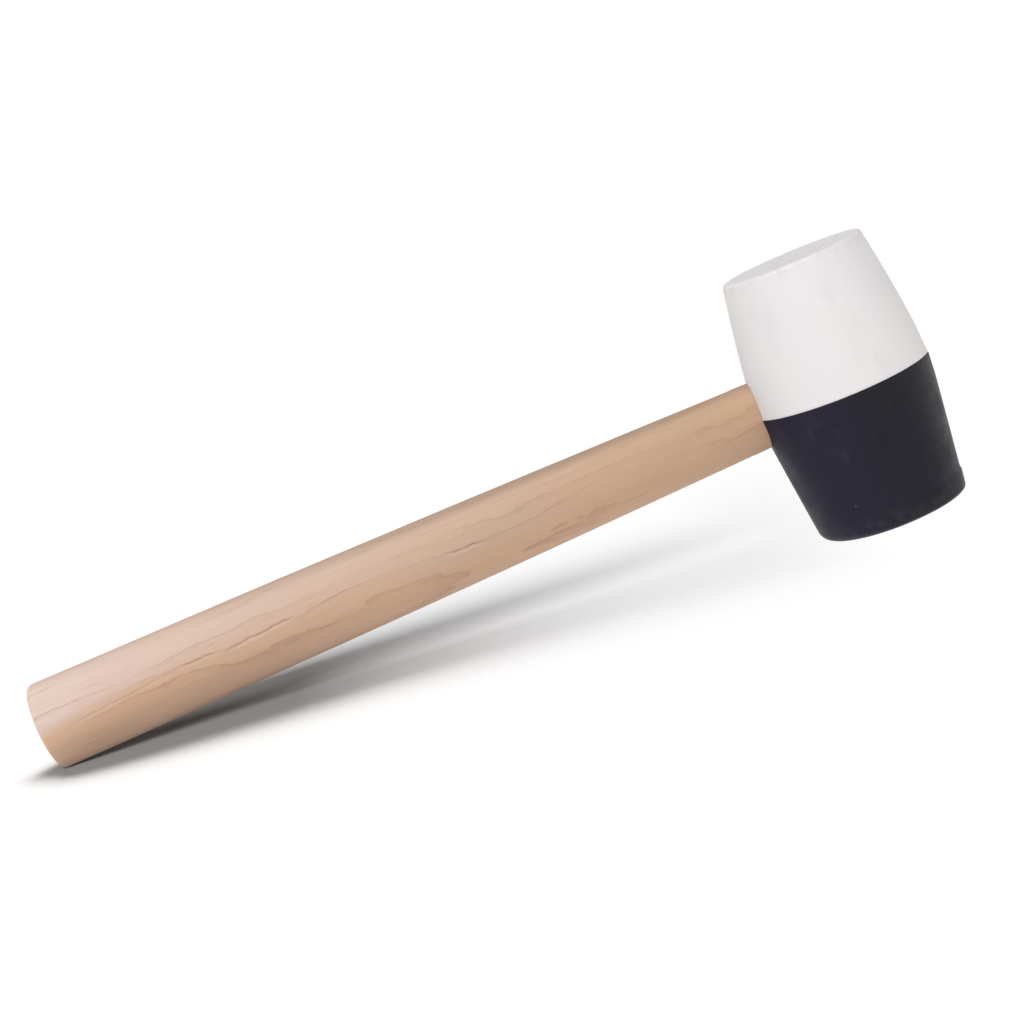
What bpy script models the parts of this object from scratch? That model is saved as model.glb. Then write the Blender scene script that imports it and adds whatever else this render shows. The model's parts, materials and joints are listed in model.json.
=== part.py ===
"""A rubber mallet with a white and a black rubber half, lying as it does on a bench: it rests on the rim of its
black striking face and on the end of its wooden handle. Metres, +Z up, origin at the bottom centre of the whole.

Every piece is modelled in the mallet's own frame, whose origin is where the head's axis crosses the seam between
the two rubbers: +Z runs along the head to the white striking face, and -X along the handle to its butt."""

import math

import bmesh
import bpy
from mathutils import Matrix, Vector

MM = 0.001
OBJECT_NAME = "rubber_mallet"
TOUCHING_GAP = 0.3 * MM  # between pieces that touch on the real mallet

# Head
HEAD_RADIUS = 31.0 * MM  # at the seam, where the head is widest
WHITE_LENGTH = 46.4 * MM  # seam to white striking face
BLACK_LENGTH = 48.1 * MM  # seam to black striking face
WHITE_FACE_RADIUS = 24.5 * MM  # where the side would meet the face if the rim were sharp
BLACK_FACE_RADIUS = 25.6 * MM
WHITE_BULGE = 0.6 * MM  # how far the side stands out from a straight cone, halfway along
BLACK_BULGE = 0.1 * MM
WHITE_RIM_ROUND = 1.6 * MM
BLACK_RIM_ROUND = 2.6 * MM
BLACK_LIP_PROUD = 0.4 * MM  # a moulded bead round the black rim stands this far out
BLACK_LIP_HEIGHT = 6.0 * MM
BLACK_LIP_RAMP = 1.5 * MM  # and rises over this length of the side

# Handle: an oval stick, taller along the head's axis than it is wide
HANDLE_REACH = 299.0 * MM  # head axis to butt end
BUTT_HALF_HEIGHT = 15.9 * MM
GRIP_HALF_HEIGHT = 14.4 * MM  # halfway between butt and neck
NECK_HALF_HEIGHT = 11.7 * MM
BUTT_HALF_WIDTH = 11.4 * MM
NECK_HALF_WIDTH = 8.4 * MM
BUTT_DROP = 2.4 * MM  # the butt's centre lies this far to the black side of the seam
NECK_RISE = 1.0 * MM  # and the neck's and the eye's centre this far to the white side
BUTT_ROUND = 2.0 * MM

# Tenon, the end of the handle inside the head
TENON_INSET = 3.0 * MM  # how deep in the head the neck ends and the tenon starts
TENON_END_HALF_HEIGHT = 11.4 * MM
TENON_END_HALF_WIDTH = 9.0 * MM  # spread by the wedge
TENON_BELOW_FLUSH = 3.0 * MM  # its flat end, below the crown of the head's round side
EYE_OVERRUN = 4.0 * MM  # how far the eye's cutter passes the head's side

# Wooden wedge in the tenon's kerf, thin across the handle
WEDGE_DEPTH = 24.0 * MM
WEDGE_THICKNESS = 3.2 * MM
WEDGE_TIP_THICKNESS = 1.0 * MM
KERF_BOTTOM_GAP = 2.0 * MM

# Steel wedge across the wooden one, thin along the head
STEEL_DEPTH = 15.0 * MM
STEEL_WIDTH = 13.0 * MM
STEEL_THICKNESS = 2.4 * MM
STEEL_TIP_THICKNESS = 0.8 * MM
STEEL_BOTTOM_GAP = 1.0 * MM

# Facets
HEAD_STEPS = 80
SIDE_POINTS = 7
RIM_POINTS = 6
OVAL_POINTS = 44
GRIP_SECTIONS = 16
TENON_SECTIONS = 7
BUTT_SECTIONS = 5

NECK_X = TENON_INSET - HEAD_RADIUS
TENON_END_X = HEAD_RADIUS - TENON_BELOW_FLUSH
BUTT_X = -HANDLE_REACH


def clear_scene():
    for obj in list(bpy.data.objects):
        bpy.data.objects.remove(obj)


def new_collection(name, hidden=False):
    made = bpy.data.collections.new(name)
    made.hide_render = hidden
    bpy.context.scene.collection.children.link(made)
    return made


def principled(name, color, roughness, metallic=0.0):
    material = bpy.data.materials.new(name)
    material.use_nodes = True
    shader = material.node_tree.nodes["Principled BSDF"]
    shader.inputs["Base Color"].default_value = (*color, 1.0)
    shader.inputs["Roughness"].default_value = roughness
    shader.inputs["Metallic"].default_value = metallic
    return material


def white_rubber():
    return principled("white_rubber", (0.76, 0.74, 0.75), 0.55)


def black_rubber():
    return principled("black_rubber", (0.030, 0.027, 0.033), 0.50)


def handle_wood():
    return principled("handle_wood", (0.62, 0.42, 0.29), 0.60)


def wedge_wood():
    return principled("wedge_wood", (0.48, 0.30, 0.18), 0.65)


def wedge_steel():
    return principled("wedge_steel", (0.45, 0.45, 0.46), 0.35, 1.0)


def object_of(name, mesh, collection, material=None):
    made = bpy.data.objects.new(name, mesh)
    collection.objects.link(made)
    if material:
        mesh.materials.append(material)
    return made


def mesh_of(name, form):
    mesh = bpy.data.meshes.new(name)
    bmesh.ops.recalc_face_normals(form, faces=form.faces)
    form.to_mesh(mesh)
    form.free()
    return mesh


def shade(mesh, sharp_angle=math.radians(35)):
    mesh.shade_smooth()
    mesh.set_sharp_from_angle(angle=sharp_angle)


def rim_corner(length, face_radius, bulge, rim_round, lip_proud=0.0):
    """A rim's rounding: its centre (radius, distance from the seam), and the angle that the side leans in there."""
    lean = math.atan((HEAD_RADIUS - face_radius + 4 * bulge) / length)
    tangent = rim_round / math.tan(math.pi / 4 + lean / 2)
    return face_radius + lip_proud - tangent, length - rim_round, lean


def side_radius(height, length, face_radius, bulge):
    """The radius of a half's side at a height over the seam."""
    share = height / length
    return HEAD_RADIUS + (face_radius - HEAD_RADIUS) * share + 4 * bulge * share * (1 - share)


def half_profile(length, face_radius, bulge, rim_round, lip_proud=0.0, lip_height=0.0):
    """Points (radius, distance from the seam) from the face's centre over the rim and down the side to the seam."""
    centre_radius, centre_height, lean = rim_corner(length, face_radius, bulge, rim_round, lip_proud)
    points = [(0.0, length)]
    for i in range(RIM_POINTS):
        angle = math.pi / 2 + (lean - math.pi / 2) * i / (RIM_POINTS - 1)
        points.append((
            centre_radius + rim_round * math.cos(angle),
            centre_height + rim_round * math.sin(angle),
        ))
    if lip_proud:
        lip_foot = length - lip_height
        points.append((side_radius(lip_foot, length, face_radius, bulge) + lip_proud, lip_foot))
        ramp_foot = lip_foot - BLACK_LIP_RAMP
        points.append((side_radius(ramp_foot, length, face_radius, bulge), ramp_foot))
    seam = TOUCHING_GAP / 2
    side_top = points[-1][1]
    for i in range(1, SIDE_POINTS):
        height = side_top + (seam - side_top) * i / (SIDE_POINTS - 1)
        points.append((side_radius(height, length, face_radius, bulge), height))
    points.append((0.0, seam))
    return points


def turned(name, profile, collection, material):
    """A profile of (radius, height) points turned about the head's axis."""
    mesh = bpy.data.meshes.new(name)
    edges = [(i, i + 1) for i in range(len(profile) - 1)]
    mesh.from_pydata([(radius, 0.0, height) for radius, height in profile], edges, [])
    made = object_of(name, mesh, collection, material)
    screw = made.modifiers.new("turn", "SCREW")
    screw.steps = screw.render_steps = HEAD_STEPS
    screw.use_merge_vertices = True
    screw.merge_threshold = 0.00001
    screw.use_smooth_shade = True
    return made


def cut(piece, cutter):
    boolean = piece.modifiers.new(cutter.name, "BOOLEAN")
    boolean.operation = "DIFFERENCE"
    boolean.solver = "EXACT"
    boolean.object = cutter


def grip_section(x):
    """(half height, half width, centre height) of the handle at x, between the butt and the neck."""
    t = (x - BUTT_X) / (NECK_X - BUTT_X)
    half_height = (
        BUTT_HALF_HEIGHT * (1 - t) * (1 - 2 * t)
        + GRIP_HALF_HEIGHT * 4 * t * (1 - t)
        + NECK_HALF_HEIGHT * t * (2 * t - 1)
    )
    half_width = BUTT_HALF_WIDTH + (NECK_HALF_WIDTH - BUTT_HALF_WIDTH) * t
    return half_height, half_width, NECK_RISE * t - BUTT_DROP * (1 - t)


def tenon_section(x):
    t = (x - NECK_X) / (TENON_END_X - NECK_X)
    half_height = NECK_HALF_HEIGHT + (TENON_END_HALF_HEIGHT - NECK_HALF_HEIGHT) * t
    half_width = NECK_HALF_WIDTH + (TENON_END_HALF_WIDTH - NECK_HALF_WIDTH) * t
    return half_height, half_width, NECK_RISE


def handle_section(x):
    return grip_section(x) if x < NECK_X else tenon_section(x)


def loft(sections):
    """A closed form through ovals, each (x, half height, half width, centre height)."""
    form = bmesh.new()
    rings = []
    for x, half_height, half_width, centre in sections:
        ring = []
        for i in range(OVAL_POINTS):
            angle = 2 * math.pi * i / OVAL_POINTS
            point = (x, half_width * math.cos(angle), centre + half_height * math.sin(angle))
            ring.append(form.verts.new(point))
        rings.append(ring)
    for ring, after in zip(rings, rings[1:]):
        for i in range(OVAL_POINTS):
            j = (i + 1) % OVAL_POINTS
            form.faces.new((ring[i], ring[j], after[j], after[i]))
    form.faces.new(rings[0])
    form.faces.new(rings[-1])
    return form


def spread(first, last, count):
    return [first + (last - first) * i / (count - 1) for i in range(count)]


def handle_sections():
    """The rounded butt, the grip and the tenon."""
    sections = []
    for i in range(BUTT_SECTIONS):
        angle = math.pi / 2 * i / BUTT_SECTIONS
        x = BUTT_X + BUTT_ROUND * (1 - math.sin(angle))
        inset = BUTT_ROUND * (1 - math.cos(angle))
        half_height, half_width, centre = grip_section(x)
        sections.insert(0, (x, half_height - inset, half_width - inset, centre))
    end_height, end_width, end_centre = grip_section(BUTT_X)
    sections.insert(0, (BUTT_X, end_height - BUTT_ROUND, end_width - BUTT_ROUND, end_centre))
    for x in spread(BUTT_X + BUTT_ROUND, NECK_X, GRIP_SECTIONS)[1:]:
        sections.append((x, *grip_section(x)))
    for x in spread(NECK_X, TENON_END_X, TENON_SECTIONS)[1:]:
        sections.append((x, *tenon_section(x)))
    return sections


def eye_sections():
    """The head's eye: the handle's own ovals and a clearance, run past the head's side at both ends."""
    sections = []
    reach = HEAD_RADIUS + EYE_OVERRUN
    for x in spread(-reach, NECK_X, 3) + spread(NECK_X, reach, TENON_SECTIONS)[1:]:
        half_height, half_width, centre = handle_section(x)
        sections.append((x, half_height + TOUCHING_GAP, half_width + TOUCHING_GAP, centre))
    return sections


def tapered_block(depth, outer, tip, overrun=0.0):
    """A wedge driven in from the tenon's end: outer and tip are its (width along Y, height along Z) there and at
    its depth. With an overrun it carries on out of the tenon at the same taper."""
    form = bmesh.new()
    bmesh.ops.create_cube(form, size=1.0)
    for vert in form.verts:
        at_tip = vert.co.x < 0
        share = 1.0 if at_tip else -overrun / depth
        width = outer[0] + (tip[0] - outer[0]) * share
        height = outer[1] + (tip[1] - outer[1]) * share
        vert.co.x = TENON_END_X - depth * share
        vert.co.y *= width
        vert.co.z = NECK_RISE + vert.co.z * height
    return form


def wedge_sizes():
    """The wooden wedge's (width, height) at the tenon's end and at its tip: its narrow edges stay in the oval."""
    sizes = []
    places = ((TENON_END_X, WEDGE_THICKNESS), (TENON_END_X - WEDGE_DEPTH, WEDGE_TIP_THICKNESS))
    for x, thickness in places:
        half_height, half_width, _ = tenon_section(x)
        inside = math.sqrt(1 - (thickness / 2 / half_width) ** 2) * half_height
        sizes.append((thickness, 2 * inside))
    return sizes


def kerf_form():
    outer, tip = wedge_sizes()
    overrun = 2 * TENON_BELOW_FLUSH
    depth = WEDGE_DEPTH + KERF_BOTTOM_GAP
    through = 2 * NECK_HALF_HEIGHT + 2 * TENON_END_HALF_HEIGHT
    return tapered_block(
        depth,
        (outer[0] + 2 * TOUCHING_GAP, through),
        (tip[0] + 2 * TOUCHING_GAP, through),
        overrun,
    )


def steel_slot_form():
    overrun = 2 * TENON_BELOW_FLUSH
    width = STEEL_WIDTH + 2 * TOUCHING_GAP
    return tapered_block(
        STEEL_DEPTH + STEEL_BOTTOM_GAP,
        (width, STEEL_THICKNESS + 2 * TOUCHING_GAP),
        (width, STEEL_TIP_THICKNESS + 2 * TOUCHING_GAP),
        overrun,
    )


def build_cutters(collection):
    forms = {
        "eye_cutter": loft(eye_sections()),
        "kerf_cutter": kerf_form(),
        "steel_slot_cutter": steel_slot_form(),
    }
    cutters = {}
    for name, form in forms.items():
        cutter = object_of(name, mesh_of(name, form), collection)
        cutter.hide_render = True
        cutter.display_type = "WIRE"
        cutters[name] = cutter
    return cutters


def build_white_half(collection, cutters):
    profile = half_profile(WHITE_LENGTH, WHITE_FACE_RADIUS, WHITE_BULGE, WHITE_RIM_ROUND)
    half = turned("white_head_half", profile, collection, white_rubber())
    cut(half, cutters["eye_cutter"])
    return half


def build_black_half(collection, cutters):
    profile = half_profile(
        BLACK_LENGTH, BLACK_FACE_RADIUS, BLACK_BULGE, BLACK_RIM_ROUND, BLACK_LIP_PROUD, BLACK_LIP_HEIGHT
    )
    downward = [(radius, -height) for radius, height in reversed(profile)]
    half = turned("black_head_half", downward, collection, black_rubber())
    cut(half, cutters["eye_cutter"])
    return half


def build_handle(collection, cutters):
    mesh = mesh_of("handle", loft(handle_sections()))
    shade(mesh)
    handle = object_of("handle", mesh, collection, handle_wood())
    cut(handle, cutters["kerf_cutter"])
    cut(handle, cutters["steel_slot_cutter"])
    return handle


def build_wooden_wedge(collection, cutters):
    mesh = mesh_of("wooden_wedge", tapered_block(WEDGE_DEPTH, *wedge_sizes()))
    wedge = object_of("wooden_wedge", mesh, collection, wedge_wood())
    cut(wedge, cutters["steel_slot_cutter"])
    return wedge


def build_steel_wedge(collection):
    form = tapered_block(
        STEEL_DEPTH, (STEEL_WIDTH, STEEL_THICKNESS), (STEEL_WIDTH, STEEL_TIP_THICKNESS)
    )
    return object_of("steel_wedge", mesh_of("steel_wedge", form), collection, wedge_steel())


def rest_tilt():
    """How far the mallet leans over its handle when the black rim and the butt's lower edge both touch the bench:
    the slope of the line that touches both of those roundings from below."""
    rim_radius, rim_height, _ = rim_corner(
        BLACK_LENGTH, BLACK_FACE_RADIUS, BLACK_BULGE, BLACK_RIM_ROUND, BLACK_LIP_PROUD
    )
    rim = Vector((-rim_radius, -rim_height))
    butt = Vector((BUTT_X + BUTT_ROUND, BUTT_ROUND - BUTT_DROP - BUTT_HALF_HEIGHT))
    slope = math.atan2(butt.y - rim.y, rim.x - butt.x)
    return slope + math.asin((BLACK_RIM_ROUND - BUTT_ROUND) / (rim - butt).length)


def lay_on_bench(pieces, cutters, collection):
    """Parents everything to an empty that tilts it to rest and sets the origin at the pieces' bottom centre."""
    empty = bpy.data.objects.new(OBJECT_NAME, None)
    collection.objects.link(empty)
    for obj in [*pieces, *cutters]:
        obj.parent = empty
    tilt = Matrix.Rotation(-rest_tilt(), 4, "Y")
    graph = bpy.context.evaluated_depsgraph_get()
    points = []
    for piece in pieces:
        mesh = piece.evaluated_get(graph).to_mesh()
        points.extend(tilt @ vert.co for vert in mesh.vertices)
    middle_x = (min(p.x for p in points) + max(p.x for p in points)) / 2
    lowest = min(p.z for p in points)
    empty.matrix_world = Matrix.Translation((-middle_x, 0.0, -lowest)) @ tilt


def build():
    clear_scene()
    parts = new_collection(OBJECT_NAME)
    helpers = new_collection("cutters", hidden=True)
    cutters = build_cutters(helpers)
    pieces = [
        build_white_half(parts, cutters),
        build_black_half(parts, cutters),
        build_handle(parts, cutters),
        build_wooden_wedge(parts, cutters),
        build_steel_wedge(parts),
    ]
    lay_on_bench(pieces, cutters.values(), parts)


build()
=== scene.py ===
"""The looks of a rubber mallet with a white and a black rubber half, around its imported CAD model.

Lengths are in metres. The pieces are built in the mallet's own frame, whose origin is where the head's axis
crosses the seam: +Z runs to the white striking face, and -X along the handle to its butt. Each piece's object
then carries the tilt with which the mallet rests on the rim of its black face and on its butt."""

import json
import math

import bmesh
import bpy
from mathutils import Matrix, Vector, noise


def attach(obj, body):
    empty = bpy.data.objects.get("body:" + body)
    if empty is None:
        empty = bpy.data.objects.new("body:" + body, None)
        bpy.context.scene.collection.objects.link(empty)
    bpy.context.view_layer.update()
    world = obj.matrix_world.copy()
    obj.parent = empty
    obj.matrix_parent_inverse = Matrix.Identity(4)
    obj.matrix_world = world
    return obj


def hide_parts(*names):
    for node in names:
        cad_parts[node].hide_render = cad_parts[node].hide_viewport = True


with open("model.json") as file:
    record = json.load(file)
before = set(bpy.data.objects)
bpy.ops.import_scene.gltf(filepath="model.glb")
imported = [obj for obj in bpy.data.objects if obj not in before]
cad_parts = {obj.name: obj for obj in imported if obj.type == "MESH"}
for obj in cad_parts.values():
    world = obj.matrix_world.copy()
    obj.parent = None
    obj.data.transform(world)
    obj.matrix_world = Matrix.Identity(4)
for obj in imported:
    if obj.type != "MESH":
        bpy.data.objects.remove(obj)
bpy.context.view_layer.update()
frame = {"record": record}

MM = 0.001

# Sizes of the CAD model that the finer meshes repeat
HEAD_RADIUS = 31.0 * MM
WHITE_LENGTH = 46.4 * MM
BLACK_LENGTH = 48.1 * MM
WHITE_FACE_RADIUS = 24.5 * MM
BLACK_FACE_RADIUS = 25.6 * MM
WHITE_BULGE = 0.6 * MM
BLACK_BULGE = 0.1 * MM
WHITE_RIM_ROUND = 1.6 * MM
BLACK_RIM_ROUND = 2.6 * MM
BLACK_LIP_PROUD = 0.4 * MM
BLACK_LIP_HEIGHT = 6.0 * MM
BLACK_LIP_RAMP = 1.5 * MM
HANDLE_REACH = 299.0 * MM
BUTT_HALF_HEIGHT = 15.9 * MM
GRIP_HALF_HEIGHT = 14.4 * MM
NECK_HALF_HEIGHT = 11.7 * MM
BUTT_HALF_WIDTH = 11.4 * MM
NECK_HALF_WIDTH = 8.4 * MM
BUTT_DROP = 2.4 * MM
NECK_RISE = 1.0 * MM
BUTT_ROUND = 2.0 * MM
TENON_INSET = 3.0 * MM
TENON_END_HALF_HEIGHT = 11.4 * MM
TENON_END_HALF_WIDTH = 9.0 * MM
TENON_BELOW_FLUSH = 3.0 * MM
WEDGE_DEPTH = 24.0 * MM
WEDGE_THICKNESS = 3.2 * MM
WEDGE_TIP_THICKNESS = 1.0 * MM
STEEL_DEPTH = 15.0 * MM
STEEL_WIDTH = 13.0 * MM
STEEL_THICKNESS = 2.4 * MM
STEEL_TIP_THICKNESS = 0.8 * MM

NECK_X = TENON_INSET - HEAD_RADIUS
TENON_END_X = HEAD_RADIUS - TENON_BELOW_FLUSH
BUTT_X = -HANDLE_REACH

# Fits of the finer meshes, closer than the CAD model's 0.3 mm gaps
SEAM_GAP = 0.02 * MM
SEAM_ROUND = 0.25 * MM
EYE_GAP = 0.06 * MM
KERF_GAP = 0.05 * MM
BUTT_INSET = 0.02 * MM

WHITE_SEAM_INSET = 0.15 * MM

# Cutters: how far they reach past what they cut
EYE_OVERRUN = 4.0 * MM
CUTTER_OVERRUN = 3.0 * MM
KERF_DEEPER = 2.0 * MM
KERF_HEIGHT = 30.0 * MM
SLOT_DEEPER = 1.0 * MM

# Points closer than this are one point
SLIVER = 0.002 * MM

# Surfaces: the unevenness of moulded rubber, what sanding takes off the grip, and the edges of the wedges
MOULD_DEPTH = 0.07 * MM
BROAD_LUMP = 16.0 * MM
FINE_LUMP = 4.0 * MM
FACE_BAND = 0.5 * MM
UNSANDED = 8.0 * MM
FLAT_LENGTH = 60.0 * MM
FLAT_WIDTH = 7.0 * MM
FLAT_CUT = 0.13 * MM
RIPPLE_LENGTH = 12.0 * MM
RIPPLE_WIDTH = 4.0 * MM
RIPPLE_CUT = 0.04 * MM
STEEL_STEPS = 3
STEEL_BARB = 0.12 * MM
STEEL_EDGE_ROUND = 0.12 * MM
WOOD_EDGE_ROUND = 0.10 * MM
SHARP_FROM = 40  # degrees between faces
SOFTEN_FROM = 30  # degrees between faces

# Growth rings: how far from the trunk's heart the wood was cut, and how much its rings drift and fray
HEART_OFFSET = 16.0 * MM
RING_DRIFT = 12.0 * MM
RING_RAG = 2.6 * MM

# Splits along the grain on the handle's front: where each starts and ends, as (x, z), and how dark
# it is
STREAK_WOBBLE = 0.5 * MM
LIP_BELOW = 0.9 * MM
STREAKS = (
    ((-289.0 * MM, -3.4 * MM), (-246.0 * MM, 0.2 * MM), 0.35),
    ((-244.0 * MM, 0.5 * MM), (-230.0 * MM, 0.6 * MM), 0.8),
    ((-227.0 * MM, -0.4 * MM), (-201.0 * MM, 1.5 * MM), 1.0),
    ((-146.0 * MM, 0.3 * MM), (-131.0 * MM, -0.2 * MM), 0.8),
)

# Rims: crisper than the CAD model's where the photo shows them so, and the black one worn rounder on the side
# that the handle is on
WHITE_SHARP_ROUND = 0.8 * MM
WHITE_FACE_INSET = 0.08 * MM
RIM_WEAR = 0.6
BLACK_SHARP_ROUND = 1.4 * MM
BLACK_WORN_ROUND = 4.0 * MM

# Camera: a portrait lens two thirds of a metre away, held a little above the bench and rolled
CAMERA_PLACE = Vector((0.0481, -0.6751, 0.1442))
CAMERA_HEADING = math.radians(-2.87)
CAMERA_DIP = math.radians(8.69)
CAMERA_ROLL = math.radians(-17.19)
CAMERA_LENS = 70.3

# The mallet's softbox and the floor's: headings, heights and widths are in degrees, as make_sun says
KEY_HEADING = -20.0
KEY_HEIGHT = 65.0
KEY_WIDTH = 50.0
KEY_STRENGTH = 2.72
FLOOR_KEY_HEADING = 0.0
FLOOR_KEY_HEIGHT = 31.0
FLOOR_KEY_WIDTH = 26.0
FLOOR_KEY_STRENGTH = 5.2

# The studio round the mallet: a bright band that fades out upwards into a dim sky, by the height of the
# direction looked in (0 level, 1 straight up)
BACKDROP_STRENGTH = 1.1
SKY_STRENGTH = 0.08
BAND_STRENGTH = 1.1
BAND_FULL = 0.15
BAND_GONE = 0.55

# The floor: where along X its own glowing white takes over from the shadow, and how its painted shadow
# darkens it with the share of open sky over it, out to COVER_REACH
FLOOR_SIZE = 30.0
FLOOR_WHITE = 0.97
FADE_START = -0.078
FADE_END = 0.130
COVER_REACH = 0.15
COVER_FULL = 0.66
COVER_NONE = 0.90
PAINTED_SHADOW_GREY = 0.21

# How finely the meshes are divided
HEAD_STEPS = 192
FACE_RINGS = 16
RIM_RINGS = 14
SIDE_RINGS = 50
SEAM_RINGS = 6
OVAL_STEPS = 128


# ---------------------------------------------------------------- frame

def mount(name):
    found = next(m for m in frame["record"]["mounts"] if m["name"] == name)
    return Vector(found["pos_m"]), Vector(found["axis"]).normalized()


def rest_matrix():
    """The mallet's own frame at rest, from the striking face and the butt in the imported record."""
    white_face, head_axis = mount("white_face")
    _, butt_axis = mount("butt_end")
    x_axis = -butt_axis
    y_axis = head_axis.cross(x_axis)
    origin = white_face - head_axis * WHITE_LENGTH
    matrix = Matrix((x_axis, y_axis, head_axis)).transposed().to_4x4()
    matrix.translation = origin
    return matrix


REST = rest_matrix()


def at_rest(name, form):
    """An object made from a form in the mallet's own frame, with its mesh laid where the mallet rests."""
    mesh = bpy.data.meshes.new(name)
    form.transform(REST)
    bmesh.ops.recalc_face_normals(form, faces=form.faces)
    form.to_mesh(mesh)
    form.free()
    made = bpy.data.objects.new(name, mesh)
    bpy.context.scene.collection.objects.link(made)
    return made


def add_piece(name, form, material, node):
    """Makes a form into a piece that stands for a CAD node."""
    piece = at_rest(name, form)
    piece.data.materials.append(material)
    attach(piece, "root")
    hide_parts(node)
    return piece


def apply_modifiers(piece):
    graph = bpy.context.evaluated_depsgraph_get()
    made = bpy.data.meshes.new_from_object(piece.evaluated_get(graph))
    piece.modifiers.clear()
    piece.data = made


def drop_slivers(piece):
    """Splits a Boolean's many-sided faces into triangles, and drops those of no area and any doubled ones."""
    form = bmesh.new()
    form.from_mesh(piece.data)
    bmesh.ops.triangulate(form, faces=[face for face in form.faces if len(face.verts) > 4])
    bmesh.ops.remove_doubles(form, verts=form.verts, dist=SLIVER)
    bmesh.ops.dissolve_degenerate(form, dist=SLIVER, edges=form.edges)
    form.to_mesh(piece.data)
    form.free()


def cut(piece, cutters):
    """Cuts a piece's mesh for good, so that no modifier depends on a cutter."""
    for cutter in cutters:
        boolean = piece.modifiers.new(cutter.name, "BOOLEAN")
        boolean.operation = "DIFFERENCE"
        boolean.solver = "EXACT"
        boolean.object = cutter
    apply_modifiers(piece)
    drop_slivers(piece)


def shade(piece):
    piece.data.shade_smooth()
    piece.data.set_sharp_from_angle(angle=math.radians(SHARP_FROM))


def spread(first, last, count):
    return [first + (last - first) * i / (count - 1) for i in range(count)]


def wander(point, size, seed):
    """Smooth noise from -1 to 1 whose lumps are about size across."""
    shift = Vector((seed * 3.1, seed * 1.7, seed * 2.3))
    return noise.noise(Vector(point) / size + shift)


# ---------------------------------------------------------------- rubber head

class Half:
    """One half of the head: its sizes, and which way it lies from the seam (+1 white, -1 black)."""

    def __init__(self, name, side, length, face_radius, bulge, sharp_round, worn_round, lip, seam_radius):
        self.name = name
        self.side = side
        self.length = length
        self.face_radius = face_radius
        self.bulge = bulge
        self.sharp_round = sharp_round
        self.worn_round = worn_round
        self.lip = lip
        self.seam_radius = seam_radius

    def side_radius(self, height, wear):
        share = height / self.length
        straight = self.seam_radius + (self.face_radius - self.seam_radius) * share
        proud = 0.0
        if self.lip:
            rise = (height - self.length + BLACK_LIP_HEIGHT + BLACK_LIP_RAMP) / BLACK_LIP_RAMP
            rise = min(max(rise, 0.0), 1.0)
            proud = self.lip * (1 - wear) * rise * rise * (3 - 2 * rise)
        return straight + 4 * self.bulge * share * (1 - share) + proud

    def profile(self, angle):
        """(radius, distance from the seam) at an angle round the head, from near the face's centre over the
        rim to the seam. The rim is rounder where it is worn, on the side that the handle is on."""
        wear = 0.5 - 0.5 * math.cos(angle)
        rim = self.sharp_round + (self.worn_round - self.sharp_round) * wear ** RIM_WEAR
        lean = math.atan((HEAD_RADIUS - self.face_radius + 4 * self.bulge) / self.length)
        centre_radius = self.face_radius + self.lip * (1 - wear) - rim / math.tan(math.pi / 4 + lean / 2)
        centre_height = self.length - rim
        points = [(centre_radius * share, self.length) for share in spread(0.04, 0.97, FACE_RINGS)]
        for turn in spread(math.pi / 2, lean, RIM_RINGS):
            points.append((
                centre_radius + rim * math.cos(turn),
                centre_height + rim * math.sin(turn),
            ))
        lowest = SEAM_GAP / 2 + SEAM_ROUND
        for height in spread(points[-1][1], lowest, SIDE_RINGS)[1:]:
            points.append((self.side_radius(height, wear), height))
        edge_radius = points[-1][0]
        for turn in spread(0.0, math.pi / 2, SEAM_RINGS)[1:]:
            points.append((
                edge_radius - SEAM_ROUND * (1 - math.cos(turn)),
                lowest - SEAM_ROUND * math.sin(turn),
            ))
        points.append((edge_radius * 0.5, SEAM_GAP / 2))
        points.append((edge_radius * 0.04, SEAM_GAP / 2))
        return points


def turned(half):
    """The half's profile turned about the head's axis, and closed at the axis."""
    form = bmesh.new()
    columns = []
    for i in range(HEAD_STEPS):
        angle = 2 * math.pi * i / HEAD_STEPS
        columns.append([
            form.verts.new((radius * math.cos(angle), radius * math.sin(angle), half.side * height))
            for radius, height in half.profile(angle)
        ])
    for i, column in enumerate(columns):
        after = columns[(i + 1) % HEAD_STEPS]
        for j in range(len(column) - 1):
            form.faces.new((column[j], column[j + 1], after[j + 1], after[j]))
    for end in (0, -1):
        centre = form.verts.new((0.0, 0.0, columns[0][end].co.z))
        for i in range(HEAD_STEPS):
            form.faces.new((columns[i][end], columns[(i + 1) % HEAD_STEPS][end], centre))
    return form


def settle(form, depth, seed, face_height):
    """Sinks a moulded surface by up to depth, in broad soft lumps and finer dents."""
    for vert in form.verts:
        x, y, z = vert.co
        if abs(z) <= SEAM_GAP:
            continue
        broad = 0.5 + 0.5 * wander(vert.co, BROAD_LUMP, seed)
        fine = 0.5 + 0.5 * wander(vert.co, FINE_LUMP, seed + 5)
        sink = depth * (0.75 * broad + 0.25 * fine)
        out = Vector((x, y, 0.0))
        if out.length > 1e-6:
            vert.co -= out.normalized() * sink
        if abs(z) > face_height - FACE_BAND:
            vert.co.z -= math.copysign(depth * broad, z)


def make_head_half(half, seed, material, eye):
    form = turned(half)
    settle(form, MOULD_DEPTH, seed, half.length)
    node, slot = f"{half.name}_head_half", f"{half.name}_rubber"
    piece = add_piece(f"{half.name}_moulding", form, material, node)
    cut(piece, [eye])
    shade(piece)


# ---------------------------------------------------------------- handle and wedges

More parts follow.
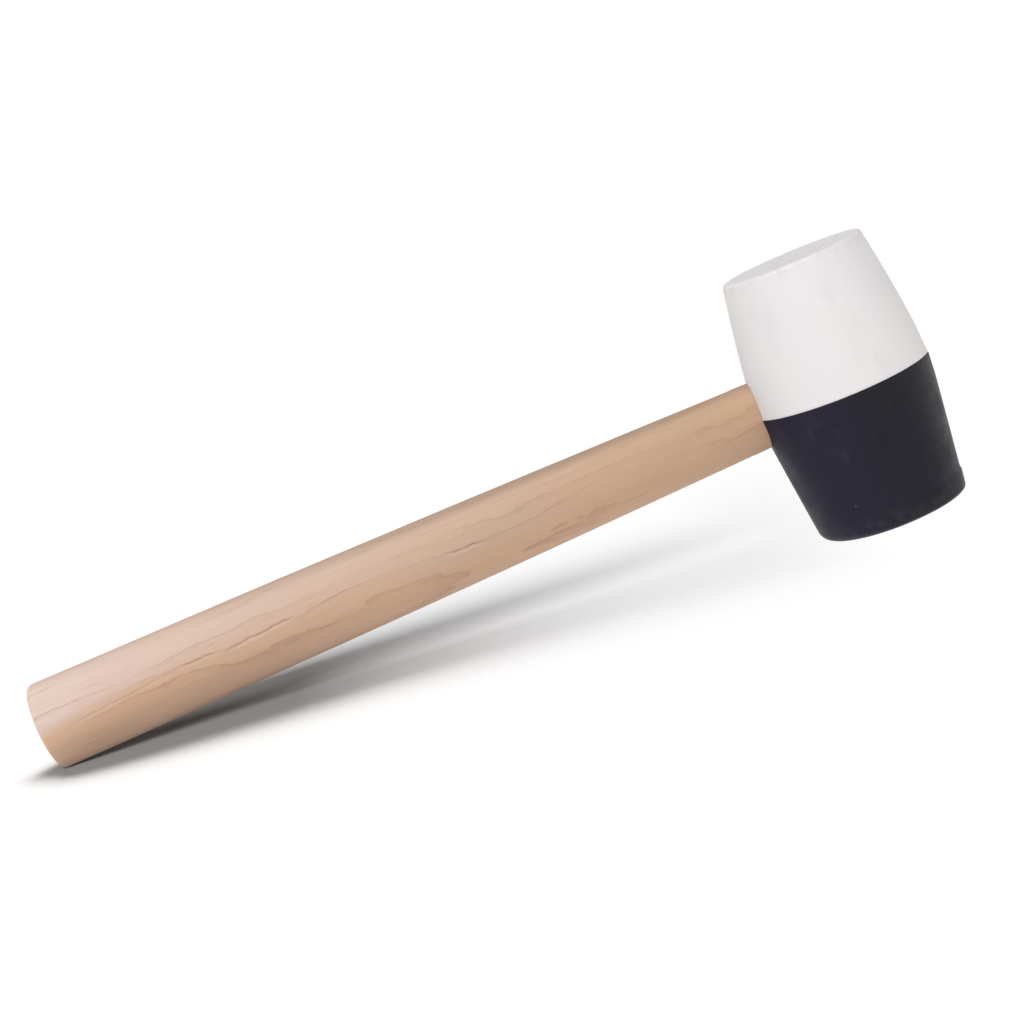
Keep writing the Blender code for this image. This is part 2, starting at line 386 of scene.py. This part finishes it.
def grip_section(x):
    t = (x - BUTT_X) / (NECK_X - BUTT_X)
    half_height = (
        BUTT_HALF_HEIGHT * (1 - t) * (1 - 2 * t)
        + GRIP_HALF_HEIGHT * 4 * t * (1 - t)
        + NECK_HALF_HEIGHT * t * (2 * t - 1)
    )
    half_width = BUTT_HALF_WIDTH + (NECK_HALF_WIDTH - BUTT_HALF_WIDTH) * t
    return half_height, half_width, NECK_RISE * t - BUTT_DROP * (1 - t)


def tenon_section(x):
    t = (x - NECK_X) / (TENON_END_X - NECK_X)
    half_height = NECK_HALF_HEIGHT + (TENON_END_HALF_HEIGHT - NECK_HALF_HEIGHT) * t
    half_width = NECK_HALF_WIDTH + (TENON_END_HALF_WIDTH - NECK_HALF_WIDTH) * t
    return half_height, half_width, NECK_RISE


def handle_section(x):
    return grip_section(x) if x < NECK_X else tenon_section(x)


def oval_loft(sections, ends):
    """A closed form through ovals, each (x, half height, half width, centre height). Its flat ends are filled
    with shrinking rings, ends of them each, so that a dome or dents can be worked into them."""
    form = bmesh.new()
    first, last = sections[0], sections[-1]

    def shrunk(section, share):
        return (section[0], section[1] * share, section[2] * share, section[3])

    shares = spread(0.06, 1.0, ends + 1)[:-1]
    every = [shrunk(first, s) for s in shares] + list(sections) + [shrunk(last, s) for s in reversed(shares)]
    rings = []
    for x, half_height, half_width, centre in every:
        ring = []
        for i in range(OVAL_STEPS):
            angle = 2 * math.pi * i / OVAL_STEPS
            point = (x, half_width * math.cos(angle), centre + half_height * math.sin(angle))
            ring.append(form.verts.new(point))
        rings.append(ring)
    for ring, after in zip(rings, rings[1:]):
        for i in range(OVAL_STEPS):
            j = (i + 1) % OVAL_STEPS
            form.faces.new((ring[i], ring[j], after[j], after[i]))
    for ring, section in ((rings[0], first), (rings[-1], last)):
        middle = form.verts.new((section[0], 0.0, section[3]))
        for i in range(OVAL_STEPS):
            form.faces.new((ring[i], ring[(i + 1) % OVAL_STEPS], middle))
    return form


def handle_sections():
    sections = []
    end_x = BUTT_X + BUTT_INSET
    for angle in spread(math.pi / 2, 0.0, 12):
        x = end_x + BUTT_ROUND * (1 - math.sin(angle))
        inset = BUTT_ROUND * (1 - math.cos(angle))
        half_height, half_width, centre = grip_section(x)
        sections.append((x, half_height - inset, half_width - inset, centre))
    for x in spread(end_x + BUTT_ROUND, NECK_X, 150)[1:]:
        sections.append((x, *grip_section(x)))
    for x in spread(NECK_X, TENON_END_X, 24)[1:]:
        sections.append((x, *tenon_section(x)))
    return sections


def whittle(form):
    """Takes a little off the grip in long soft flats and short ripples, as sanding leaves them."""
    for vert in form.verts:
        x, y, z = vert.co
        if x > NECK_X - UNSANDED:
            continue
        flats = 0.5 + 0.5 * noise.noise(Vector((x / FLAT_LENGTH, y / FLAT_WIDTH, z / FLAT_WIDTH)))
        place = Vector((x / RIPPLE_LENGTH, y / RIPPLE_WIDTH, z / RIPPLE_WIDTH))
        ripple = 0.5 + 0.5 * noise.noise(place + Vector((9, 2, 4)))
        _, _, centre = grip_section(x)
        inward = Vector((0.0, -y, centre - z))
        if inward.length > 1e-6:
            vert.co += inward.normalized() * (FLAT_CUT * flats + RIPPLE_CUT * ripple)


def eye_form():
    sections = []
    reach = HEAD_RADIUS + EYE_OVERRUN
    for x in spread(-reach, NECK_X, 8) + spread(NECK_X, reach, 16)[1:]:
        half_height, half_width, centre = handle_section(x)
        sections.append((x, half_height + EYE_GAP, half_width + EYE_GAP, centre))
    return oval_loft(sections, 1)


def tapered_block(depth, outer, tip, overrun=0.0):
    """A wedge driven in at the tenon's end: outer and tip are its (width, height) there and at its depth."""
    form = bmesh.new()
    bmesh.ops.create_cube(form, size=1.0)
    for vert in form.verts:
        share = 1.0 if vert.co.x < 0 else -overrun / depth
        width = outer[0] + (tip[0] - outer[0]) * share
        height = outer[1] + (tip[1] - outer[1]) * share
        vert.co.x = TENON_END_X - depth * share
        vert.co.y *= width
        vert.co.z = NECK_RISE + vert.co.z * height
    return form


def grown(size, by):
    return size[0] + 2 * by, size[1] + 2 * by


def wooden_wedge_sizes():
    sizes = []
    places = ((TENON_END_X, WEDGE_THICKNESS), (TENON_END_X - WEDGE_DEPTH, WEDGE_TIP_THICKNESS))
    for x, thickness in places:
        half_height, half_width, _ = tenon_section(x)
        inside = math.sqrt(1 - (thickness / 2 / half_width) ** 2) * half_height
        sizes.append((thickness, 2 * inside))
    return sizes


def steel_wedge_form():
    """A stamped wedge whose broad sides step in three times, so that it can't back out."""
    form = bmesh.new()
    outline = []
    for i in range(STEEL_STEPS):
        start, end = i / STEEL_STEPS, (i + 1) / STEEL_STEPS
        for share, barb in ((start, STEEL_BARB), (end, 0.0)):
            thickness = STEEL_THICKNESS + (STEEL_TIP_THICKNESS - STEEL_THICKNESS) * share
            outline.append((TENON_END_X - STEEL_DEPTH * share, thickness / 2 - STEEL_BARB + barb))
    outline += [(x, -h) for x, h in reversed(outline)]
    for y in (-STEEL_WIDTH / 2, STEEL_WIDTH / 2):
        form.faces.new([form.verts.new((x, y, NECK_RISE + h)) for x, h in outline])
    front, back = list(form.faces)
    front_verts, back_verts = list(front.verts), list(back.verts)
    for i in range(len(front_verts)):
        j = (i + 1) % len(front_verts)
        form.faces.new((front_verts[i], front_verts[j], back_verts[j], back_verts[i]))
    return form


def soften(piece, width):
    """Rounds the edges of a wedge."""
    bevel = piece.modifiers.new("soft_edges", "BEVEL")
    bevel.width = width
    bevel.segments = 3
    bevel.limit_method = "ANGLE"
    bevel.angle_limit = math.radians(SOFTEN_FROM)
    apply_modifiers(piece)


# ---------------------------------------------------------------- materials

class Graph:
    """A material's node tree, with short calls for the nodes that the mallet's materials use."""

    def __init__(self, name, on_mallet=True):
        self.material = bpy.data.materials.new(name)
        self.material.use_nodes = True
        self.tree = self.material.node_tree
        self.shader = self.tree.nodes["Principled BSDF"]
        world_place = self.node("ShaderNodeTexCoord").outputs["Object"]
        self.place = self.in_mallet_frame(world_place) if on_mallet else world_place

    def node(self, kind, **settings):
        made = self.tree.nodes.new(kind)
        for key, value in settings.items():
            setattr(made, key, value)
        return made

    def in_mallet_frame(self, place):
        made = self.node("ShaderNodeMapping")
        back = REST.inverted()
        made.inputs["Rotation"].default_value = back.to_euler()
        made.inputs["Location"].default_value = back.translation
        self.put(place, made.inputs["Vector"])
        return made.outputs[0]

    def put(self, value, socket):
        if isinstance(value, bpy.types.NodeSocket):
            self.tree.links.new(value, socket)
        else:
            socket.default_value = value

    def math(self, operation, a, b=0.0):
        made = self.node("ShaderNodeMath", operation=operation)
        for value, socket in zip((a, b), made.inputs):
            self.put(value, socket)
        return made.outputs[0]

    def scaled(self, vector, scale, shift=(0.0, 0.0, 0.0)):
        made = self.node("ShaderNodeMapping")
        self.put(vector, made.inputs["Vector"])
        made.inputs["Scale"].default_value = scale
        made.inputs["Location"].default_value = shift
        return made.outputs[0]

    def split(self, vector):
        made = self.node("ShaderNodeSeparateXYZ")
        self.put(vector, made.inputs[0])
        return made.outputs

    def noise(self, vector, scale, detail=3.0, roughness=0.5):
        made = self.node("ShaderNodeTexNoise")
        self.put(vector, made.inputs["Vector"])
        made.inputs["Scale"].default_value = scale
        made.inputs["Detail"].default_value = detail
        made.inputs["Roughness"].default_value = roughness
        return made.outputs["Fac"]

    def cells(self, vector, scale):
        """Distance to the nearest of scattered points."""
        made = self.node("ShaderNodeTexVoronoi")
        self.put(vector, made.inputs["Vector"])
        made.inputs["Scale"].default_value = scale
        return made.outputs["Distance"]

    def remap(self, value, low, high, to_low=0.0, to_high=1.0, smooth=False):
        made = self.node("ShaderNodeMapRange", interpolation_type="SMOOTHSTEP" if smooth else "LINEAR")
        for item, socket in zip((value, low, high, to_low, to_high), made.inputs):
            self.put(item, socket)
        return made.outputs["Result"]

    def mix(self, factor, a, b):
        made = self.node("ShaderNodeMix", data_type="RGBA")
        self.put(factor, made.inputs[0])
        self.put(a if isinstance(a, bpy.types.NodeSocket) else (*a, 1.0), made.inputs[6])
        self.put(b if isinstance(b, bpy.types.NodeSocket) else (*b, 1.0), made.inputs[7])
        return made.outputs[2]

    def bump(self, height, distance, strength=1.0, under=None):
        made = self.node("ShaderNodeBump")
        self.put(height, made.inputs["Height"])
        made.inputs["Distance"].default_value = distance
        made.inputs["Strength"].default_value = strength
        if under is not None:
            self.put(under, made.inputs["Normal"])
        return made.outputs["Normal"]

    def finish(self, color, roughness, normal, specular, **more):
        self.put(color, self.shader.inputs["Base Color"])
        self.put(roughness, self.shader.inputs["Roughness"])
        if normal is not None:
            self.put(normal, self.shader.inputs["Normal"])
        self.shader.inputs["Specular IOR Level"].default_value = specular
        for name, value in more.items():
            self.shader.inputs[name.replace("_", " ").title()].default_value = value
        return self.material


def face_rim_mask(g, length, round_size):
    """1 on a head half's rim and fading out over the few millimetres beside it, broken up by noise."""
    height = g.math("ABSOLUTE", g.split(g.place)[2])
    near = g.remap(height, length - 3.5 * round_size, length - 0.3 * round_size, smooth=True)
    broken = g.remap(g.noise(g.place, 240, 4, 0.6), 0.45, 0.65)
    return g.math("MULTIPLY", near, broken)


def white_rubber():
    g = Graph("white_rubber_look")
    cloud = g.noise(g.place, 34, 3, 0.55)
    cool_warm = g.mix(g.remap(cloud, 0.35, 0.65), (0.725, 0.698, 0.715), (0.735, 0.708, 0.690))
    smudge = g.remap(g.noise(g.scaled(g.place, (1.0, 1.0, 0.5)), 90, 5, 0.62), 0.56, 0.74)
    color = g.mix(g.math("MULTIPLY", smudge, 0.22), cool_warm, (0.52, 0.51, 0.52))
    # Greyer over the striking face and its rim: partly wear, partly painted shade on the upturned face
    worn = face_rim_mask(g, WHITE_LENGTH, WHITE_RIM_ROUND)
    color = g.mix(g.math("MULTIPLY", worn, 0.25), color, (0.50, 0.49, 0.50))
    specks = g.remap(g.cells(g.place, 160), 0.07, 0.03)
    rare = g.remap(g.noise(g.place, 60, 1), 0.60, 0.64)
    color = g.mix(g.math("MULTIPLY", g.math("MULTIPLY", specks, rare), 0.45), color, (0.30, 0.29, 0.30))
    grain = g.noise(g.place, 2600, 3, 0.6)
    dimples = g.noise(g.place, 420, 2, 0.5)
    normal = g.bump(grain, 0.00003, 0.5, g.bump(dimples, 0.00012, 0.35))
    roughness = g.remap(g.noise(g.place, 130, 4, 0.6), 0.3, 0.7, 0.46, 0.62)
    return g.finish(color, roughness, normal, 0.35)


def black_rubber():
    g = Graph("black_rubber_look")
    cloud = g.noise(g.place, 30, 3, 0.55)
    color = g.mix(g.remap(cloud, 0.35, 0.65), (0.0090, 0.0070, 0.0150), (0.0095, 0.0085, 0.0115))
    # Painted light: bluer and a little brighter on the side towards the handle, standing in for the cool
    # light that falls there
    painted_cool_side = g.remap(g.split(g.place)[0], 8 * MM, -14 * MM, smooth=True)
    color = g.mix(g.math("MULTIPLY", painted_cool_side, 0.8), color, (0.0125, 0.0095, 0.0265))
    bloom = g.remap(g.noise(g.scaled(g.place, (1.0, 1.0, 0.45)), 75, 5, 0.65), 0.55, 0.75)
    color = g.mix(g.math("MULTIPLY", bloom, 0.35), color, (0.050, 0.049, 0.050))
    # Paler over the face and its rim
    worn = face_rim_mask(g, BLACK_LENGTH, BLACK_RIM_ROUND)
    color = g.mix(g.math("MULTIPLY", worn, 0.30), color, (0.060, 0.058, 0.058))
    dust = g.remap(g.cells(g.place, 130), 0.075, 0.02)
    rare = g.remap(g.noise(g.place, 55, 1), 0.57, 0.62)
    color = g.mix(g.math("MULTIPLY", g.math("MULTIPLY", dust, rare), 0.35), color, (0.15, 0.145, 0.15))
    grain = g.noise(g.place, 2600, 3, 0.6)
    dimples = g.noise(g.place, 420, 2, 0.5)
    normal = g.bump(grain, 0.00003, 0.6, g.bump(dimples, 0.00014, 0.35))
    roughness = g.remap(g.noise(g.place, 120, 4, 0.6), 0.3, 0.7, 0.40, 0.58)
    return g.finish(color, roughness, normal, 0.20)


def handle_shares(g):
    """How far a point lies from the butt to the neck (0 to 1) and from the handle's lower edge to its upper
    one (-1 to 1)."""
    x, _, z = g.split(g.place)
    along = g.remap(x, BUTT_X, NECK_X)
    centre = g.remap(along, 0.0, 1.0, -BUTT_DROP, NECK_RISE)
    half_height = g.remap(along, 0.0, 1.0, BUTT_HALF_HEIGHT, NECK_HALF_HEIGHT)
    return along, g.math("DIVIDE", g.math("SUBTRACT", z, centre), half_height)


def wood_tone(g, across, seed):
    """The handle's broad colours: pink and pale at the butt, tan towards the head, browner below. Painted
    light makes the very underside paler near the butt, and painted shade lays a greyer band along the top of
    the neck."""
    along, up = handle_shares(g)
    upper = g.mix(g.math("POWER", along, 0.65), (0.695, 0.540, 0.475), (0.462, 0.300, 0.186))
    # Painted light: the very underside turns paler near the butt, standing in for light bounced up from the
    # floor
    painted_bounce_underside = g.mix(g.remap(up, -0.40, -0.95, smooth=True), (0.655, 0.425, 0.290), (0.900, 0.615, 0.450))
    lower = g.mix(g.math("POWER", along, 0.6), painted_bounce_underside, (0.560, 0.356, 0.238))
    mottle = g.noise(g.scaled(g.place, (9.0, 60.0, 60.0), (seed + 4.0, 0.0, 0.0)), 1.0, 3, 0.5)
    edge = g.math("ADD", g.math("MULTIPLY", across, 60.0), g.remap(mottle, 0.3, 0.7, -0.35, 0.35))
    low = g.remap(edge, 0.45, -0.45, smooth=True)
    color = g.mix(low, upper, lower)
    # Painted shade: a greyer band along the top of the neck, where that surface turns away from the light
    rim = g.math("MULTIPLY", g.remap(up, 0.76, 0.96, smooth=True), g.remap(along, 0.20, 0.65))
    return g.mix(g.math("MULTIPLY", rim, 0.45), color, (0.300, 0.225, 0.170))


def growth_rings(g, seed, per_metre):
    """Ragged growth rings of a trunk whose heart runs along X under the handle: 0 to 1 from each ring's pale
    inner side to its dark outer edge. It also gives the bent height that the rings follow."""
    _, y, z = g.split(g.place)
    drift = g.noise(g.scaled(g.place, (16.0, 90.0, 90.0), (seed, 0.0, 0.0)), 1.0, 2, 0.5)
    rag = g.noise(g.scaled(g.place, (170.0, 480.0, 480.0), (seed, 3.0, 0.0)), 1.0, 3, 0.60)
    bend = g.math("MULTIPLY", g.math("SUBTRACT", drift, 0.5), RING_DRIFT)
    ragged = g.math("MULTIPLY", g.math("SUBTRACT", rag, 0.5), RING_RAG)
    across = g.math("ADD", z, g.math("ADD", bend, ragged))
    depth = g.math("ADD", y, g.math("MULTIPLY", drift, RING_DRIFT / 2))
    behind = g.math("POWER", g.math("ADD", depth, HEART_OFFSET), 2.0)
    above = g.math("POWER", g.math("ADD", across, HEART_OFFSET), 2.0)
    radius = g.math("SQRT", g.math("ADD", behind, above))
    return g.math("FRACT", g.math("MULTIPLY", radius, per_metre)), across


def streak(g, start, end):
    """A split along the grain on the handle's front, from start to end as (x, z), and its pale lip."""
    x, y, z = g.split(g.place)
    wobble = g.noise(g.scaled(g.place, (120.0, 0.0, 0.0)), 1.0, 2, 0.5)
    straight = g.remap(x, start[0], end[0], start[1], end[1])
    line = g.math("ADD", straight, g.remap(wobble, 0.3, 0.7, -STREAK_WOBBLE, STREAK_WOBBLE))
    off = g.math("SUBTRACT", z, line)
    fade_in = g.remap(x, start[0] - 1 * MM, start[0] + 4 * MM)
    fade_out = g.remap(x, end[0] + 1 * MM, end[0] - 4 * MM)
    along = g.math("MULTIPLY", fade_in, fade_out)
    front = g.math("MULTIPLY", along, g.remap(y, -1 * MM, -4 * MM))
    broken = g.remap(g.noise(g.scaled(g.place, (300.0, 900.0, 900.0)), 1.0, 2), 0.30, 0.55, 0.35, 1.0)
    dark = g.remap(g.math("ABSOLUTE", off), 0.55 * MM, 0.12 * MM, smooth=True)
    lip = g.remap(g.math("ABSOLUTE", g.math("ADD", off, LIP_BELOW)), 0.8 * MM, 0.1 * MM, smooth=True)
    return g.math("MULTIPLY", g.math("MULTIPLY", dark, broken), front), g.math("MULTIPLY", lip, front)


def add_streaks(g, color):
    """Darkens the splits and pales their lips. It also gives how deep each point is cut, for the bump."""
    cuts = 0.0
    for start, end, strength in STREAKS:
        dark, lip = streak(g, start, end)
        color = g.mix(g.math("MULTIPLY", lip, 0.20 * strength), color, (0.80, 0.66, 0.56))
        color = g.mix(g.math("MULTIPLY", dark, 0.62 * strength), color, (0.250, 0.160, 0.120))
        cuts = g.math("ADD", cuts, g.math("MULTIPLY", dark, strength))
    return color, cuts


def wood(name, tone, line, seed, per_metre=205.0, end_dark=0.0):
    """Hardwood with its grain along X: ragged growth rings, fibres, pores and fine cracks over a base tone.
    The tone is one colour, or a function such as wood_tone, which is the handle's and brings the splits."""
    g = Graph(name)
    ring, across = growth_rings(g, seed, per_metre)
    color = tone(g, across, seed) if callable(tone) else g.mix(ring, tone, line)
    strong = g.noise(g.scaled(g.place, (20.0, 110.0, 110.0), (seed + 9.0, 0.0, 0.0)), 1.0, 2)
    visible = g.remap(strong, 0.38, 0.62)
    late = g.math("MULTIPLY", g.remap(ring, 0.80, 0.97), g.remap(ring, 1.0, 0.975))
    rising = g.math("MULTIPLY", g.math("POWER", ring, 2.0), g.remap(ring, 1.0, 0.91, smooth=True))
    shaded = g.math("MULTIPLY", rising, g.remap(visible, 0.0, 1.0, 0.06, 0.27))
    color = g.mix(shaded, color, line)
    color = g.mix(g.math("MULTIPLY", g.math("MULTIPLY", late, visible), 0.42), color, line)
    fibre = g.noise(g.scaled(g.place, (55.0, 1900.0, 1900.0), (seed, 0.0, 0.0)), 1.0, 3, 0.6)
    color = g.mix(g.remap(fibre, 0.38, 0.75, 0.0, 0.15), color, line)
    pores = g.remap(g.cells(g.scaled(g.place, (75.0, 950.0, 950.0), (seed, 0.0, 0.0)), 1.0), 0.22, 0.08)
    patchy = g.noise(g.scaled(g.place, (30.0, 160.0, 160.0), (seed + 2.0, 0.0, 0.0)), 1.0, 2)
    pores = g.math("MULTIPLY", pores, g.remap(patchy, 0.52, 0.60))
    color = g.mix(g.math("MULTIPLY", pores, 0.30), color, tuple(0.6 * c for c in line))
    split_place = g.noise(g.scaled(g.place, (26.0, 240.0, 240.0), (seed + 6.0, 1.0, 0.0)), 1.0, 2)
    cracks = g.math("MULTIPLY", g.math("MULTIPLY", late, late), g.remap(split_place, 0.60, 0.66))
    color = g.mix(g.math("MULTIPLY", cracks, 0.35), color, tuple(0.55 * c for c in line))
    if callable(tone):
        color, cuts = add_streaks(g, color)
        cracks = g.math("ADD", cracks, cuts)
    if end_dark:
        facing = g.split(g.node("ShaderNodeNewGeometry").outputs["Normal"])[0]
        end = g.remap(g.math("ABSOLUTE", facing), 0.80, 0.97)
        color = g.mix(g.math("MULTIPLY", end, end_dark), color, line)
    relief = g.math("ADD", g.math("MULTIPLY", fibre, 0.7), g.math("MULTIPLY", pores, -0.8))
    normal = g.bump(relief, 0.00008, 0.4, g.bump(g.math("SUBTRACT", late, cracks), 0.00012, 0.3))
    roughness = g.remap(fibre, 0.3, 0.7, 0.50, 0.66)
    return g.finish(color, roughness, normal, 0.30)


def wedge_steel():
    g = Graph("wedge_steel_look")
    brushed = g.noise(g.scaled(g.place, (200.0, 3000.0, 3000.0)), 1.0, 3, 0.6)
    stain = g.remap(g.noise(g.place, 400, 4, 0.6), 0.52, 0.70)
    color = g.mix(g.math("MULTIPLY", stain, 0.5), (0.42, 0.42, 0.43), (0.16, 0.11, 0.08))
    roughness = g.remap(stain, 0.0, 1.0, 0.34, 0.62)
    return g.finish(color, roughness, g.bump(brushed, 0.00005, 0.4), 0.5, metallic=0.95)


def floor_look():
    """White, with a shadow painted into its colour where something stands close over it. Towards the head it
    glows with its own white light, so that the shadow fades out there."""
    g = Graph("floor_look", on_mallet=False)
    glow = g.remap(g.split(g.place)[0], FADE_START, FADE_END)
    g.put((1.0, 1.0, 1.0, 1.0), g.shader.inputs["Emission Color"])
    g.put(glow, g.shader.inputs["Emission Strength"])
    open_sky = g.node("ShaderNodeAmbientOcclusion", samples=24)
    open_sky.inputs["Distance"].default_value = COVER_REACH
    # Painted shadow: the floor's colour turns grey where the occlusion finds something close over it
    painted_shadow = g.remap(open_sky.outputs["AO"], COVER_FULL, COVER_NONE, 1.0, 0.0, smooth=True)
    color = g.mix(painted_shadow, (FLOOR_WHITE, FLOOR_WHITE, FLOOR_WHITE), (PAINTED_SHADOW_GREY, PAINTED_SHADOW_GREY, PAINTED_SHADOW_GREY))
    color = g.mix(glow, color, (0.0, 0.0, 0.0))
    return g.finish(color, 0.9, None, 0.0)


# ---------------------------------------------------------------- camera, light and floor

def make_camera():
    data = bpy.data.cameras.new("camera")
    data.lens = CAMERA_LENS
    data.sensor_width = 36.0
    data.clip_start = 0.01
    data.clip_end = 50.0
    camera = bpy.data.objects.new("camera", data)
    bpy.context.scene.collection.objects.link(camera)
    turn = Matrix.Rotation(-CAMERA_HEADING, 4, "Z") @ Matrix.Rotation(math.pi / 2 - CAMERA_DIP, 4, "X")
    camera.matrix_world = Matrix.Translation(CAMERA_PLACE) @ turn @ Matrix.Rotation(CAMERA_ROLL, 4, "Z")
    bpy.context.scene.camera = camera


def make_sun(name, heading, height, width, strength):
    """A soft far light: heading 0 shines from the camera's side and 90 from +X, height is above the bench."""
    data = bpy.data.lights.new(name, "SUN")
    data.angle = math.radians(width)
    data.energy = strength
    sun = bpy.data.objects.new(name, data)
    a, e = math.radians(heading), math.radians(height)
    source = Vector((math.sin(a) * math.cos(e), -math.cos(a) * math.cos(e), math.sin(e)))
    sun.rotation_euler = source.to_track_quat("Z", "Y").to_euler()
    bpy.context.scene.collection.objects.link(sun)
    return sun


def light_linking(sun, floor, lights_floor):
    """A light reaches either the floor alone, or everything except the floor."""
    receivers = bpy.data.collections.new(sun.name + "_receivers")
    receivers.objects.link(floor)
    if not lights_floor:
        receivers.collection_objects[0].light_linking.link_state = "EXCLUDE"
    sun.light_linking.receiver_collection = receivers


def make_softboxes(floor):
    """A wide softbox overhead for the mallet, and a lower one from the camera's side for the floor, which
    lays the handle's shadow back behind it."""
    over = make_sun("softbox", KEY_HEADING, KEY_HEIGHT, KEY_WIDTH, KEY_STRENGTH)
    light_linking(over, floor, False)
    front = make_sun(
        "floor_softbox", FLOOR_KEY_HEADING, FLOOR_KEY_HEIGHT, FLOOR_KEY_WIDTH, FLOOR_KEY_STRENGTH,
    )
    light_linking(front, floor, True)


def make_world():
    """White where the camera sees it. For everything else, a bright band near the horizon, which lights the
    mallet's sides more than the floor, under a dim sky."""
    world = bpy.data.worlds.new("studio")
    bpy.context.scene.world = world
    world.use_nodes = True
    tree = world.node_tree
    seen = tree.nodes["Background"]
    seen.inputs["Color"].default_value = (1.0, 1.0, 1.0, 1.0)
    seen.inputs["Strength"].default_value = BACKDROP_STRENGTH
    fill = tree.nodes.new("ShaderNodeBackground")
    fill.inputs["Color"].default_value = (0.98, 0.99, 1.0, 1.0)
    direction = tree.nodes.new("ShaderNodeTexCoord")
    split = tree.nodes.new("ShaderNodeSeparateXYZ")
    tree.links.new(direction.outputs["Generated"], split.inputs[0])
    band = tree.nodes.new("ShaderNodeMapRange")
    band.interpolation_type = "SMOOTHSTEP"
    band.inputs["From Min"].default_value = BAND_GONE
    band.inputs["From Max"].default_value = BAND_FULL
    band.inputs["To Min"].default_value = SKY_STRENGTH
    band.inputs["To Max"].default_value = BAND_STRENGTH
    tree.links.new(split.outputs[2], band.inputs["Value"])
    tree.links.new(band.outputs["Result"], fill.inputs["Strength"])
    path = tree.nodes.new("ShaderNodeLightPath")
    chosen = tree.nodes.new("ShaderNodeMixShader")
    tree.links.new(path.outputs["Is Camera Ray"], chosen.inputs[0])
    tree.links.new(fill.outputs[0], chosen.inputs[1])
    tree.links.new(seen.outputs[0], chosen.inputs[2])
    tree.links.new(chosen.outputs[0], tree.nodes["World Output"].inputs["Surface"])


def make_floor():
    form = bmesh.new()
    bmesh.ops.create_grid(form, x_segments=1, y_segments=1, size=FLOOR_SIZE)
    mesh = bpy.data.meshes.new("floor")
    form.to_mesh(mesh)
    form.free()
    mesh.materials.append(floor_look())
    floor = bpy.data.objects.new("floor", mesh)
    bpy.context.scene.collection.objects.link(floor)
    return floor


# ---------------------------------------------------------------- the mallet

def make_handle(kerf, slot):
    form = oval_loft(handle_sections(), 8)
    whittle(form)
    look = wood("handle_wood_look", wood_tone, (0.400, 0.235, 0.150), 0.0, end_dark=0.35)
    handle = add_piece("turned_handle", form, look, "handle")
    cut(handle, [kerf, slot])
    shade(handle)


def make_wooden_wedge(slot):
    form = tapered_block(WEDGE_DEPTH, *wooden_wedge_sizes())
    look = wood("wedge_wood_look", (0.52, 0.35, 0.23), (0.24, 0.13, 0.07), 31.0, 420.0, 0.3)
    wedge = add_piece("tenon_wedge", form, look, "wooden_wedge")
    cut(wedge, [slot])
    soften(wedge, WOOD_EDGE_ROUND)
    shade(wedge)


def make_steel_wedge():
    wedge = add_piece("cross_wedge", steel_wedge_form(), wedge_steel(), "steel_wedge")
    soften(wedge, STEEL_EDGE_ROUND)
    shade(wedge)


def make_mallet():
    outer, tip = wooden_wedge_sizes()
    kerf = at_rest("kerf_cutter", tapered_block(
        WEDGE_DEPTH + KERF_DEEPER,
        (outer[0] + 2 * KERF_GAP, KERF_HEIGHT),
        (tip[0] + 2 * KERF_GAP, KERF_HEIGHT),
        CUTTER_OVERRUN,
    ))
    steel_outer = grown((STEEL_WIDTH, STEEL_THICKNESS), KERF_GAP)
    steel_tip = grown((STEEL_WIDTH, STEEL_TIP_THICKNESS), KERF_GAP)
    slot_form = tapered_block(STEEL_DEPTH + SLOT_DEEPER, steel_outer, steel_tip, CUTTER_OVERRUN)
    slot = at_rest("slot_cutter", slot_form)
    eye = at_rest("eye_cutter", eye_form())
    white = Half(
        "white", 1, WHITE_LENGTH - WHITE_FACE_INSET, WHITE_FACE_RADIUS, WHITE_BULGE, WHITE_SHARP_ROUND,
        WHITE_RIM_ROUND, 0.0, HEAD_RADIUS - WHITE_SEAM_INSET,
    )
    black = Half(
        "black", -1, BLACK_LENGTH, BLACK_FACE_RADIUS, BLACK_BULGE, BLACK_SHARP_ROUND, BLACK_WORN_ROUND,
        BLACK_LIP_PROUD, HEAD_RADIUS,
    )
    make_head_half(white, 1, white_rubber(), eye)
    make_head_half(black, 2, black_rubber(), eye)
    make_handle(kerf, slot)
    make_wooden_wedge(slot)
    make_steel_wedge()
    for cutter in (kerf, slot, eye):
        bpy.data.objects.remove(cutter)


bpy.context.scene.view_settings.view_transform = "Standard"
make_camera()
make_world()
make_softboxes(make_floor())
make_mallet()
